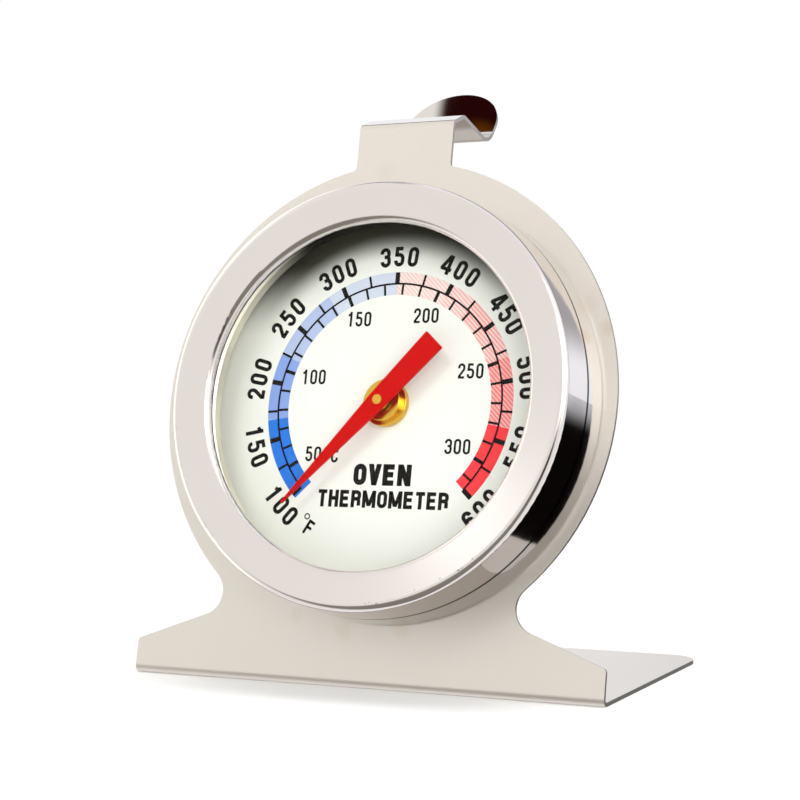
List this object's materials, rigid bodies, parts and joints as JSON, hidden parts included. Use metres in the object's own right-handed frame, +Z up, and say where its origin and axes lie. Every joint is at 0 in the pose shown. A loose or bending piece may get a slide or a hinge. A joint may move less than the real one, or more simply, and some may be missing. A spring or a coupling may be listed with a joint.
{
  "type": "oven thermometer",
  "caption": "Dial oven thermometer: round steel case with a glass-covered dial and a bimetal-driven pointer, on a leaning sheet-metal stand with a rack hook.",
  "frame": {"origin": "middle of the underside of the bounding box, on the surface the foot stands on", "axes": "+X to the right of the dial, +Y to the back, +Z up; the dial faces -Y and leans back 12.4 degrees"},
  "size_m": [0.0628, 0.0468, 0.0751],
  "materials": {
    "stand_steel": "satin rolled stainless sheet",
    "case_steel": "polished drawn stainless",
    "bezel_steel": "satin face, polished skirt",
    "rivet_steel": "plain",
    "movement_steel": "zinc plated",
    "spindle_steel": "ground",
    "coil_steel": "rolled bimetal strip",
    "bush_brass": "turned and polished",
    "hub_brass": "turned",
    "washer_brass": "blanked",
    "gasket_dark": "matt",
    "lens_glass": "clear",
    "ring_aluminium": "plain rolled",
    "spacer_aluminium": "plain",
    "dial_print": "matt white with printed scale",
    "pointer_red": "satin"
  },
  "bodies": {
    "thermometer": {"stand_bracket": "stand_steel", "case_cup": "case_steel", "case_rivets": "rivet_steel", "rear_bush": "bush_brass", "bezel_ring": "bezel_steel", "lens_gasket": "gasket_dark", "glass_lens": "lens_glass", "lens_ring": "ring_aluminium", "dial_spacer": "spacer_aluminium", "dial_plate": "dial_print", "dial_bush": "bush_brass", "movement_bridge": "movement_steel", "thrust_washer": "washer_brass", "bimetal_coil": "coil_steel", "coil_anchor": "movement_steel", "anchor_rivet": "rivet_steel"},
    "pointer_arbor": {"spindle": "spindle_steel", "coil_hub": "hub_brass", "pointer_collet": "hub_brass", "pointer": "pointer_red"}
  },
  "joints": [
    {"name": "pointer_turn", "type": "hinge", "parent": "thermometer", "child": "pointer_arbor", "pos_m": [0.00245, -0.00736, 0.0335], "axis": [0, 0.9767, -0.2147], "range_deg": [-35, 275], "stiffness_Nm_per_rad": 0.00038, "deforming": ["bimetal_coil"]}
  ]
}
